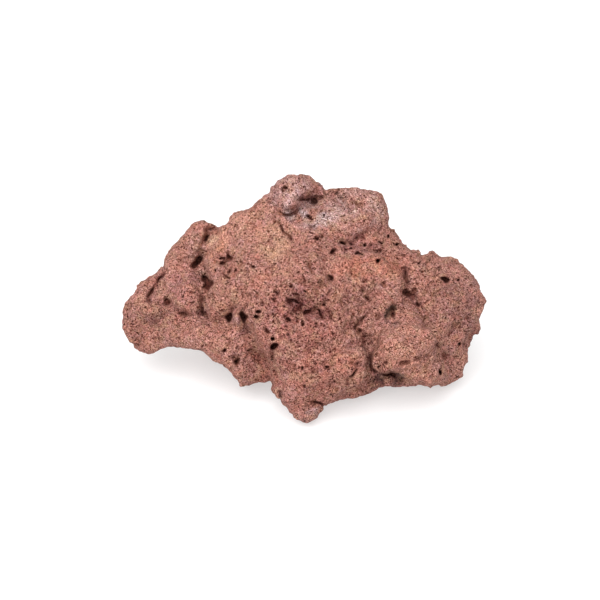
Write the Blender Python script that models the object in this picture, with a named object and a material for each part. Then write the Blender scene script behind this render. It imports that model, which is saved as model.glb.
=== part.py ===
"""A lump of red lava rock (scoria), as one solid.

The rock is laid out in a face frame, with its broad face upright and square to someone who looks
at it along +Y from VIEWPOINT: X runs across the face, Y goes into the rock and Z runs up. It is then
leaned back by LEAN_DEG into the pose in which it rests, cut level where it touches the ground, and
moved so that the bottom centre of its box is the origin. Layout values are millimetres in the face
frame.
"""

import math
from dataclasses import dataclass

import bmesh
import bpy
import numpy as np
from mathutils import Matrix, Vector, noise
from mathutils.bvhtree import BVHTree

MM = 0.001
NODE = "lava_rock"
VIEWPOINT = (0, -1000, 0)
BACK_VIEWPOINT = (0, 1000, 0)
LEAN_DEG = 30.0
GROUND_BELOW_CENTRE = 42.0  # height of the face frame's origin above the ground, once leaned back

FUSE_VOXEL = 1.6
SCULPT_VOXEL = 1.2
FACES = 9300  # before the ground is cut, which adds a few

# Crags: (size of the lumps, how high they stand)
BROAD_CRAGS = ((24, 4.5), (13, 2.5))
FINE_CRAGS = ((9, 1.2), (5.5, 0.9))
EDGE_WANDER = 1.6  # how far the edges of the marks stray
EDGE_WANDER_SIZE = 6

# Scattered dishes: how many, on places that turn how far from the front (-1) to the back (1), how
# far each reaches and how deep it goes
BACK_DISHES = (90, (0.3, 1), (3, 11), (1, 3.5))
RIM_DISHES = (70, (-0.2, 0.3), (2.5, 6.5), (0.8, 1.8))
SEED = 7

FEET = ((2, -30), (62, 0), (-38, 36), (36, 34))  # in the resting pose: (across, along)
FOOT_REACH = (8, 16)  # out to here a foot is whole, and from here on the belly is clear
BELLY_CLEARANCE = 3
SNAP = 0.3  # corners nearer the ground than this are set on it

STONE_COLOUR = (0.37, 0.165, 0.125, 1.0)
STONE_ROUGHNESS = 0.95


@dataclass(frozen=True)
class Lobe:
    """A rounded mass of the rock: its centre, its half sizes and its turn in the face plane."""

    centre: tuple
    radii: tuple
    roll_deg: float = 0.0


@dataclass(frozen=True)
class Mark:
    """A dish, a groove or a ridge: a path of (across, up) points as seen from one side, how far it
    reaches to each side, and how deep it goes into the rock, or if negative how far out of it."""

    path: tuple
    reach: float
    depth: float


LOBES = {
    # the body
    "core": Lobe((0, 8, -2), (43, 38, 36)),
    "upper_body": Lobe((4, 12, 22), (38, 28, 26)),
    "right_body": Lobe((34, 10, -8), (29, 30, 27)),
    "left_body": Lobe((-32, 10, -2), (29, 24, 23)),
    # the skyline, from left to right
    "left_end": Lobe((-64, 18, -7), (19, 17, 17)),
    "left_end_foot": Lobe((-69, 17, -14), (13, 14, 12)),
    "left_neck": Lobe((-50, 16, 6), (18, 17, 17), -30),
    "left_top": Lobe((-45, 14, 22), (14, 15, 15), -35),
    "upper_slope": Lobe((-20, 10, 28), (25, 20, 16), -30),
    "crown": Lobe((-3, 4, 42), (16, 14, 14)),
    "crown_back": Lobe((12, 14, 38), (15, 14, 13)),
    "shoulder": Lobe((25, 10, 35), (15, 17, 16)),
    "saddle": Lobe((42, 14, 14), (21, 20, 14), 32),
    "saddle_crest": Lobe((58, 13, 15), (7, 9, 8)),
    "right_end": Lobe((60, 10, -3), (22, 24, 22)),
    # the underside, from left to right
    "lower_left": Lobe((-34, 4, -24), (26, 18, 14), 32),
    "prow": Lobe((1, -9, -37), (16, 16, 21)),
    "keel": Lobe((24, 2, -34), (24, 15, 13), -18),
    "lower_right": Lobe((62, 14, -23), (15, 18, 19)),
    "sole": Lobe((50, 6, -31), (17, 14, 10)),
    # lumps on the face
    "boss": Lobe((0, -14, -8), (23, 22, 21)),
    "chin": Lobe((3, -12, -27), (19, 19, 18)),
    "face_plate": Lobe((44, -15, -22), (15, 13, 12)),
    "plate_foot": Lobe((51, -10, -32), (10, 10, 8)),
    "cheek": Lobe((18, -22, -29), (10, 11, 11)),
    # the back
    "back_hump": Lobe((4, 38, 8), (36, 24, 26)),
    "back_right": Lobe((38, 35, -8), (24, 20, 18)),
    "back_left": Lobe((-34, 32, 0), (24, 20, 18)),
    "back_left_foot": Lobe((-36, 36, -15), (15, 14, 13)),
}

# The rock's edge as seen from VIEWPOINT, clockwise from the left end: (across, up).
OUTLINE = (
    # the left end and its two tops
    (-80, -9.5), (-79, -4), (-74.5, 4), (-68.5, 9), (-61, 13.5), (-61, 18), (-55, 25), (-49.5, 32),
    (-45, 34), (-40.5, 32.5), (-35.5, 31),
    # the slope up to the crown
    (-31, 37), (-27, 38), (-20.5, 42), (-16, 46.5), (-11, 51), (-7, 55), (1, 54.5), (6, 52),
    (10.5, 46.5),
    # the shoulder
    (17, 48.5), (28, 48), (35, 46), (37, 39.5), (37.5, 34),
    # the saddle and the right end
    (42.5, 26.5), (48, 22), (53, 19.5), (58.5, 21), (61, 18), (68, 17.5), (72, 13), (77, 6),
    (80, -1), (78, -11), (76, -17.5), (73, -21), (72, -28), (70.5, -34), (64, -39.5), (51, -40),
    (40, -38),
    # the keel and the prow
    (33, -40), (26, -42), (17, -46), (9.5, -48.5), (4, -54.5), (-4, -54), (-10, -47), (-12.5, -39.5),
    # the lower left
    (-17, -37), (-25.5, -40), (-30, -35.5), (-36, -30), (-42, -26.5), (-50, -23), (-58, -22),
    (-66.5, -24.5), (-74.5, -21), (-79, -14.5),
)

# How full the outline is at each depth, as a share of its size: (into the rock, share)
OUTLINE_SHARES = (
    (-70, 0.82), (-45, 0.91), (-25, 0.965), (-8, 0.993), (8, 1), (22, 0.99), (40, 0.955), (60, 0.89),
    (90, 0.78),
)

FACE_MARKS = {
    # dishes
    "bowl": Mark(((-5, -3), (5, -5)), 13, 6),
    "bowl_left_eye": Mark(((-3, -3),), 5, 3),
    "bowl_right_eye": Mark(((6, -6), (10, -7)), 4.5, 3),
    "crown_shelf": Mark(((-2, 36), (6, 37)), 9, 3),
    "under_crown": Mark(((3, 42.5), (9, 43)), 5, 6),
    "west_hole": Mark(((-32.5, 17),), 4, 4.5),
    "left_end_hole": Mark(((-60, -2),), 4.5, 3.5),
    "left_end_dish": Mark(((-55, -7.5), (-50, -8)), 4, 2.5),
    "square_pit": Mark(((39.5, -7.5),), 4, 4),
    "east_slot": Mark(((61, 8), (64, 7)), 3.5, 3),
    # clefts
    "west_cleft": Mark(
        ((-37, 31), (-39.5, 26), (-43, 20.5), (-47, 15.5), (-44.5, 9.5), (-42.5, 4), (-44, -8)), 5, 8
    ),
    "arch": Mark(
        ((-44, -8), (-39, -11), (-33, -10), (-31, -6.5), (-27.5, -6), (-25.5, -10), (-24.5, -17)), 4, 6
    ),
    "left_end_groove": Mark(((-62, 9), (-64.5, 4), (-67, -1.5)), 3.5, 2.5),
    "east_cleft": Mark(((45, 12), (46.5, 3), (47.5, -2.5), (53, -8.5), (57, -16), (60, -25)), 4.5, 5),
    "plate_cleft": Mark(((25.5, -10), (23.5, -15), (26, -21), (29.5, -27), (33, -32)), 4.5, 5),
    "cheek_arc": Mark(((25, -27), (24, -31), (20.5, -36.5)), 3, 3),
    "prow_groove": Mark(((-23, -8), (-24.5, -19), (-12.5, -34), (-9, -43)), 6, 4.5),
    "crown_edge": Mark(((-13.5, 39.5), (-9.5, 36.5), (-5.5, 37.5), (-1.5, 40), (3, 42.5)), 3.5, 3.5),
    "crown_crack": Mark(((-12, 32.5), (-9, 28.5), (-5, 25)), 2.5, 2.5),
    "shoulder_grooves": Mark(((10, 45.5), (15, 41), (20.5, 36.5)), 3.5, 2.5),
    "slots": Mark(((12, 26), (17, 24), (26, 24), (33.5, 20.5), (39.5, 15.5)), 4.5, 4),
    "centre_groove": Mark(((9, 17), (10, 10), (13, 8.5)), 3.5, 3),
    "slit": Mark(((-29, -26), (-29, -30)), 3, 3),
    # bumps
    "orange_knob": Mark(((-37.5, 22.5),), 6.5, -2.5),
    "arch_lump": Mark(((-29, -11.5),), 3.5, -2),
}

BACK_MARKS = {
    "dish": Mark(((20, 17),), 15, 7),
    "low_dish": Mark(((-4, -8), (6, -11)), 10, 5),
    "hole": Mark(((-18, 20),), 6, 6),
    "end_hole": Mark(((62, 6),), 6, 5),
    "west_cleft": Mark(((-52, 16), (-40, 10), (-30, 2), (-26, -10), (-30, -20)), 6, 7),
    "east_cleft": Mark(((28, 8), (34, -3), (46, -8), (56, -3)), 6, 6),
    "ledge": Mark(((-10, 31), (4, 27), (19, 31)), 6, 5),
    "knob": Mark(((-6, 12),), 11, -4),
}


def leaned():
    """The turn from the face frame to the pose in which the rock rests."""
    return Matrix.Rotation(math.radians(-LEAN_DEG), 4, "X")


def lobes_mesh():
    """Every lobe as a ball, stretched to its size, in one mesh."""
    balls = bmesh.new()
    for lobe in LOBES.values():
        place = (
            Matrix.Translation(Vector(lobe.centre) * MM)
            @ Matrix.Rotation(math.radians(lobe.roll_deg), 4, "Y")
            @ Matrix.Diagonal((*(Vector(lobe.radii) * MM), 1.0))
        )
        bmesh.ops.create_icosphere(balls, subdivisions=4, radius=1.0, matrix=place)
    mesh = bpy.data.meshes.new(NODE)
    balls.to_mesh(mesh)
    balls.free()
    return mesh


def outline_cutter():
    """The outline as a solid that is fullest at its rim and rounds off before and behind it."""
    barrel = bmesh.new()
    rings = []
    for depth, share in OUTLINE_SHARES:
        spread = share * (depth - VIEWPOINT[1]) / -VIEWPOINT[1]
        rings.append(
            [barrel.verts.new((x * spread * MM, depth * MM, z * spread * MM)) for x, z in OUTLINE]
        )
    barrel.faces.new(rings[0][::-1])
    barrel.faces.new(rings[-1])
    for near, far in zip(rings, rings[1:]):
        for i in range(len(OUTLINE)):
            j = (i + 1) % len(OUTLINE)
            barrel.faces.new((near[i], near[j], far[j], far[i]))
    bmesh.ops.recalc_face_normals(barrel, faces=barrel.faces)
    mesh = bpy.data.meshes.new("outline")
    barrel.to_mesh(mesh)
    barrel.free()
    cutter = bpy.data.objects.new("outline", mesh)
    cutter.hide_render = True
    cutter.display_type = "WIRE"
    bpy.context.collection.objects.link(cutter)
    return cutter


def run_modifier(rock, kind, **settings):
    """Runs one modifier on the rock and keeps its result as the rock's mesh."""
    modifier = rock.modifiers.new(kind.title(), kind)
    for name, value in settings.items():
        setattr(modifier, name, value)
    graph = bpy.context.evaluated_depsgraph_get()
    made = bpy.data.meshes.new_from_object(rock.evaluated_get(graph), depsgraph=graph)
    rock.modifiers.clear()
    rock.data = made


def triangles(mesh):
    return sum(len(face.vertices) - 2 for face in mesh.polygons)


def points_of(mesh):
    points = np.empty(len(mesh.vertices) * 3, np.float32)
    mesh.vertices.foreach_get("co", points)
    return points.reshape(-1, 3).astype(float) / MM


def normals_of(mesh):
    normals = np.empty(len(mesh.vertices) * 3, np.float32)
    mesh.vertex_normals.foreach_get("vector", normals)
    return normals.reshape(-1, 3).astype(float)


def set_points(mesh, points):
    mesh.vertices.foreach_set("co", (points * MM).astype(np.float32).ravel())
    mesh.update()


def lumps(point, size):
    """Rounded lumps with sharp creases between them, from about -0.5 to 0.5."""
    return 2 * abs(noise.noise(point / size)) - 0.5


def roughen(mesh, crags):
    """Pushes the surface in and out along its normals by lumps of each size."""
    points = points_of(mesh)
    heights = np.zeros(len(points))
    for size, height in crags:
        heights += [height * lumps(Vector(point), size) for point in points]
    set_points(mesh, points + heights[:, None] * normals_of(mesh))


def wandered(points):
    """The points, each moved a little, so that distances to smooth shapes come out ragged."""
    moves = [noise.noise_vector(Vector(point) / EDGE_WANDER_SIZE) for point in points]
    return points + EDGE_WANDER * np.array(moves)


def distance_to_path(points, path):
    """How far each point is from a path of one or more corners."""
    nearest = np.linalg.norm(points - path[0], axis=1)
    for start, end in zip(path, path[1:]):
        along = end - start
        share = np.clip((points - start) @ along / (along @ along), 0, 1)
        nearest = np.minimum(nearest, np.linalg.norm(points - start - share[:, None] * along, axis=1))
    return nearest


def press(mesh, path, reach, depth, direction):
    """Presses a dish or a groove into the rock, deepest along the path."""
    points = points_of(mesh)
    near = np.flatnonzero(distance_to_path(points, path) < reach + 2 * EDGE_WANDER)
    share = np.clip(1 - (distance_to_path(wandered(points[near]), path) / reach) ** 2, 0, 1) ** 1.5
    points[near] += (depth * share)[:, None] * direction
    set_points(mesh, points)


def carve(rock, marks, viewpoint):
    """Presses each mark into the side of the rock that shows from a point, away from that point."""
    for mark in marks.values():
        tree = BVHTree.FromObject(rock, bpy.context.evaluated_depsgraph_get())
        path = []
        for across, up in mark.path:
            aim = Vector((across, 0, up)) - Vector(viewpoint)
            path.append(np.array(tree.ray_cast(Vector(viewpoint) * MM, aim)[0]) / MM)
        away = np.mean(path, axis=0) - np.array(viewpoint)
        press(rock.data, path, mark.reach, mark.depth, away / np.linalg.norm(away))


def scatter_dishes(mesh, chance, count, facing, reaches, depths):
    """Presses dishes into chance places on the surface, square to it."""
    points, normals = points_of(mesh), normals_of(mesh)
    faces_right = (normals[:, 1] > facing[0]) & (normals[:, 1] < facing[1])
    places = [index for index in chance.permutation(len(points)) if faces_right[index]]
    for index in places[:count]:
        press(mesh, [points[index]], chance.uniform(*reaches), chance.uniform(*depths), -normals[index])


def clear_belly(mesh):
    """Lifts the underside off the ground, but for the feet."""
    points = points_of(mesh)
    height = points[:, 2] + GROUND_BELOW_CENTRE
    away = np.min([np.hypot(points[:, 0] - x, points[:, 1] - y) for x, y in FEET], axis=0)
    clear = np.clip((away - FOOT_REACH[0]) / (FOOT_REACH[1] - FOOT_REACH[0]), 0, 1)
    lifted = BELLY_CLEARANCE * np.logaddexp(0, height / BELLY_CLEARANCE)
    points[:, 2] += clear * (lifted - height)
    set_points(mesh, points)


def cut_at_ground(mesh):
    """Cuts the rock level at the ground and closes the cuts, so that each foot is flat."""
    shape = bmesh.new()
    shape.from_mesh(mesh)
    ground = -GROUND_BELOW_CENTRE * MM
    for vertex in shape.verts:
        if abs(vertex.co.z - ground) < SNAP * MM:
            vertex.co.z = ground
    everything = shape.verts[:] + shape.edges[:] + shape.faces[:]
    cut = bmesh.ops.bisect_plane(
        shape, geom=everything, dist=1e-7, plane_co=(0, 0, ground), plane_no=(0, 0, 1), clear_inner=True
    )
    rims = [item for item in cut["geom_cut"] if isinstance(item, bmesh.types.BMEdge)]
    bmesh.ops.holes_fill(shape, edges=rims)
    bmesh.ops.triangulate(shape, faces=[face for face in shape.faces if len(face.verts) > 3])
    bmesh.ops.recalc_face_normals(shape, faces=shape.faces)
    shape.to_mesh(mesh)
    shape.free()


def centre_on_box(mesh):
    """Moves the rock so that the bottom centre of its box is the origin."""
    points = points_of(mesh)
    low, high = points.min(axis=0), points.max(axis=0)
    middle = np.array((low[0] + high[0], low[1] + high[1], 2 * low[2])) / 2
    set_points(mesh, points - middle)


def stone():
    """The rock's one material."""
    material = bpy.data.materials.new("stone")
    material.use_nodes = True
    shader = material.node_tree.nodes["Principled BSDF"]
    shader.inputs["Base Color"].default_value = STONE_COLOUR
    shader.inputs["Roughness"].default_value = STONE_ROUGHNESS
    return material


def main():
    for leftover in list(bpy.data.objects):
        bpy.data.objects.remove(leftover)
    noise.seed_set(SEED)
    rock = bpy.data.objects.new(NODE, lobes_mesh())
    bpy.context.collection.objects.link(rock)
    run_modifier(rock, "REMESH", mode="VOXEL", voxel_size=FUSE_VOXEL * MM)
    roughen(rock.data, BROAD_CRAGS)
    run_modifier(rock, "BOOLEAN", operation="INTERSECT", object=outline_cutter())
    run_modifier(rock, "REMESH", mode="VOXEL", voxel_size=SCULPT_VOXEL * MM)
    run_modifier(rock, "SMOOTH", factor=0.5, iterations=2)
    roughen(rock.data, FINE_CRAGS)
    carve(rock, FACE_MARKS, VIEWPOINT)
    carve(rock, BACK_MARKS, BACK_VIEWPOINT)
    chance = np.random.default_rng(SEED)
    scatter_dishes(rock.data, chance, *BACK_DISHES)
    scatter_dishes(rock.data, chance, *RIM_DISHES)
    run_modifier(rock, "REMESH", mode="VOXEL", voxel_size=SCULPT_VOXEL * MM)
    rock.data.transform(leaned())
    clear_belly(rock.data)
    run_modifier(rock, "DECIMATE", ratio=FACES / triangles(rock.data), use_collapse_triangulate=True)
    cut_at_ground(rock.data)
    centre_on_box(rock.data)
    rock.data.name = NODE
    rock.data.materials.append(stone())


main()
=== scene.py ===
"""The lava rock, dressed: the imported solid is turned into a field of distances, carved and pitted
there, meshed again and painted by nodes.

Everything is laid out in the face frame of the solid: the broad face upright, X across, Y into the
rock, Z up, in millimetres. The rock leans back from it by LEAN_DEG. What shows on the broad face is
placed by the pixel of the photograph where it is.
"""

import math
from dataclasses import dataclass

import bpy
import numpy as np
import openvdb
from mathutils import Matrix, Vector


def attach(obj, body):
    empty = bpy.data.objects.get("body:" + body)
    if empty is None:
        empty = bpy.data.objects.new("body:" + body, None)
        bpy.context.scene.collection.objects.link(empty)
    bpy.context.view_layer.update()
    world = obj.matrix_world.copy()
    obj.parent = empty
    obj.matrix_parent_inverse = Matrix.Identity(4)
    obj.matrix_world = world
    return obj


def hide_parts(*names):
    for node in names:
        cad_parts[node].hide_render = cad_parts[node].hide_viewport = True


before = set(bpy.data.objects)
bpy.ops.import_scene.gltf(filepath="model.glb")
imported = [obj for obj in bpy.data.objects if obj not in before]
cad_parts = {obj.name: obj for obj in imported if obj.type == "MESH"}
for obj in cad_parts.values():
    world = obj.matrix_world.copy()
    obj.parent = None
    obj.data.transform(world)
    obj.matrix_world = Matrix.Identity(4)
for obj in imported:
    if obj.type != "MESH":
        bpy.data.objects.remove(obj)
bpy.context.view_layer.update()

MM = 0.001
NODE = "lava_rock"
LEAN_DEG = 30.0
FACE_CENTRE = Vector((0.0001, -0.0096, 0.0420))  # the face frame's origin, in the row frame

# The photograph
FRAME_PX = 600
CENTRE_PX = (303, 297)  # where the face frame's origin shows
MM_PER_PX = 0.4396
VIEW_DISTANCE = 1000.0
SENSOR_MM = 36.0

# The field
VOXEL = 0.45
BAND_VOXELS = 20
MARGIN = 3.0
FACET_BLUR = 1.5  # evens out the solid's facets
REACH_BEHIND = 12.0  # how far behind the face its marks reach
REACH_FADE = 4.0  # over how much of that they fade away
SPREAD = 5.0  # how far past the outline the face is taken to go on
NOWHERE = 1000.0  # the front's depth where there is no rock
SEED = 20

# The mesh, whose back is simplified more than its face
TRIANGLES = 198000
FACE_WEIGHT = 0.5
BACK_WEIGHT = 1.0
BACK_EASE = 0.6  # how much those weights count

# Lumps and crumb: (spacing of the lattice, height, whether folded into pits between ridges)
RELIEF = (
    (5.5, 0.18, False),
    (2.8, 0.18, True),
    (1.7, 0.14, True),
    (1.15, 0.18, False),
)
FOLD = 0.8  # how high the ridges of the folded ones are

# How the marks' edges wander: (spacing, move) in millimetres
WARP = ((4.0, 0.4), (1.3, 0.38))

# Unevenness over the face: (spacing, usual, swing, least, most)
GROOVE_DEPTH = (2.6, 0.9, 0.5, 0.1, 1.5)
PATCH_SHARE = (2.5, 0.75, 0.45, 0.0, 1.0)
HOLE_WIDTH = (1.9, 1.0, 0.36, 0.5, 1.7)
HOLE_DEPTH = (1.2, 1.0, 0.38, 0.3, 1.5)

# Pores, everywhere
PORE_COUNT = 4000
PORE_RADII = (0.40, 0.90)
PORE_SUNK = 0.35  # how far below the surface their middles are, as a share of the radius
PORE_CLUMPS = (9.0, 0.7)  # how far apart they gather, and how strongly

# Wider pits, on the sides that the photograph doesn't show
PIT_COUNT = 260
PIT_RADII = (1.0, 2.4)
PIT_SUNK = 0.0

SMALL_ONES = 2.5  # how much commoner small pores and pits are than large ones
STRETCH = (0.75, 1.3)  # how far from round they are
DIG_REACH = 1.4  # how far from its middle one is dug, as a share of its radius


@dataclass(frozen=True)
class Dish:
    """A rounded dent, or a swelling where the depth is below zero."""

    at: tuple
    half: tuple
    depth: float
    turn: float = 0.0

    wide = True

    def depth_on(self, face):
        return self.depth * np.clip(1 - face.away(self) ** 2, 0, 1) ** 1.5


@dataclass(frozen=True)
class Hole:
    """A ragged pit, deepest in the middle quarter of its half size."""

    at: tuple
    half: tuple
    depth: float
    turn: float = 0.0

    wide = False

    def depth_on(self, face):
        away = face.away(self) * face.hole_width
        return self.depth * fading(away, 0.25, 1.5) * face.hole_depth


@dataclass(frozen=True)
class Slab:
    """A plateau that stands out to a steep edge."""

    outline: tuple
    height: float
    edge: float

    wide = True

    def depth_on(self, face):
        return -self.height * smooth(face.within(self.outline), -self.edge / 2, self.edge / 2)


@dataclass(frozen=True)
class Groove:
    """A furrow along a path, or a ridge where the depth is below zero."""

    path: tuple
    half: float
    depth: float

    wide = False

    def depth_on(self, face):
        away = face.from_path(self.path) / (1.3 * self.half)
        return self.depth * np.clip(1.25 - away, 0, 1) ** 1.2 * face.groove_depth


@dataclass(frozen=True)
class Furrow(Groove):
    """A wide furrow or ridge, left out of the painted shade in cuts, so as light as the stone beside
    it.
    """

    wide = True


@dataclass(frozen=True)
class Patch:
    """An area with a colour of its own, in a few places a painted shade, more or less relief, and
    more or fewer pores.
    """

    at: tuple
    half: tuple
    turn: float
    tint: tuple
    amount: float = 1.0
    relief: float = 1.0
    pores: float = 1.0


# Where the outline is a little fuller or slimmer than the solid's.
EDGES = {
    "crown_right": Dish((316, 178), (15, 9), 0.8, -38),
    "notch": Dish((214, 226), (4, 4), -1.4),
    "notch_right": Dish((223, 223), (5, 4), 1.0, 40),
    "crown_right_low": Dish((328, 187), (6, 5), 1.9, -30),
    "crown_left": Dish((280, 178), (9, 5), 0.7, 35),
    "crown_slope": Dish((265, 193), (9, 6), 1.1, 35),
    "crown_knob": Dish((271, 188), (5, 6), -0.9),
    "slope": Dish((249, 206), (11, 5), 0.9, 25),
    "slope_knob": Dish((230, 214), (6, 4), -0.6, 35),
    "west_slope": Dish((180, 234), (20, 5), 1.5, 48),
    "west_crest": Dish((199, 221), (9, 3), -0.2),
    "west_step": Dish((161, 265), (3, 6), 1.1),
    "left_bulge": Dish((151, 273), (9, 4), -0.1, 30),
    "left_corner": Dish((131, 289), (6, 8), 1.2, -30),
    "left_foot": Dish((127, 335), (7, 16), -1.5, 30),
    "left_sole": Dish((142, 350), (18, 7), -1.9),
    "hip": Dish((198, 355), (18, 6), 1.7, -25),
    "hip_low": Dish((227, 371), (11, 5), 1.7, -45),
    "keel_left": Dish((241, 384), (7, 5), -1.2, -35),
    "keel": Dish((256, 384), (9, 3), 0.4),
    "neck": Dish((276, 391), (6, 12), -2.5),
    "neck_low": Dish((285, 409), (5, 8), 0.8, 30),
    "chin": Dish((304, 419), (16, 7), -2.3),
    "chin_right": Dish((330, 406), (8, 5), 0.8, 35),
    "belly": Dish((361, 393), (22, 6), -1.8, 15),
    "belly_end": Dish((392, 384), (13, 6), -1.3, 5),
    "heel": Dish((422, 388), (9, 4), 0.8),
    "heel_right": Dish((439, 387), (9, 4), 1.8),
    "right_foot": Dish((465, 369), (4, 9), 1.4),
    "right_waist": Dish((469, 348), (4, 9), -0.4),
    "right_low": Dish((478, 331), (4, 8), -1.4),
    "right_tip": Dish((485, 299), (4, 6), -0.3),
    "right_bump": Dish((453, 258), (11, 5), -1.2),
    "right_arc": Dish((475, 278), (6, 14), -0.3, 25),
    "east_foot": Dish((423, 251), (8, 5), 1.2),
    "right_peak": Dish((433, 250), (6, 5), -1.3),
    "east_slope": Dish((410, 246), (16, 6), 1.3, -35),
    "shoulder_side": Dish((391, 223), (6, 9), 2.2),
    "shoulder_top": Dish((366, 187), (18, 5), 0.8),
    "saddle": Dish((339, 191), (12, 7), -2.6),
}

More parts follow.
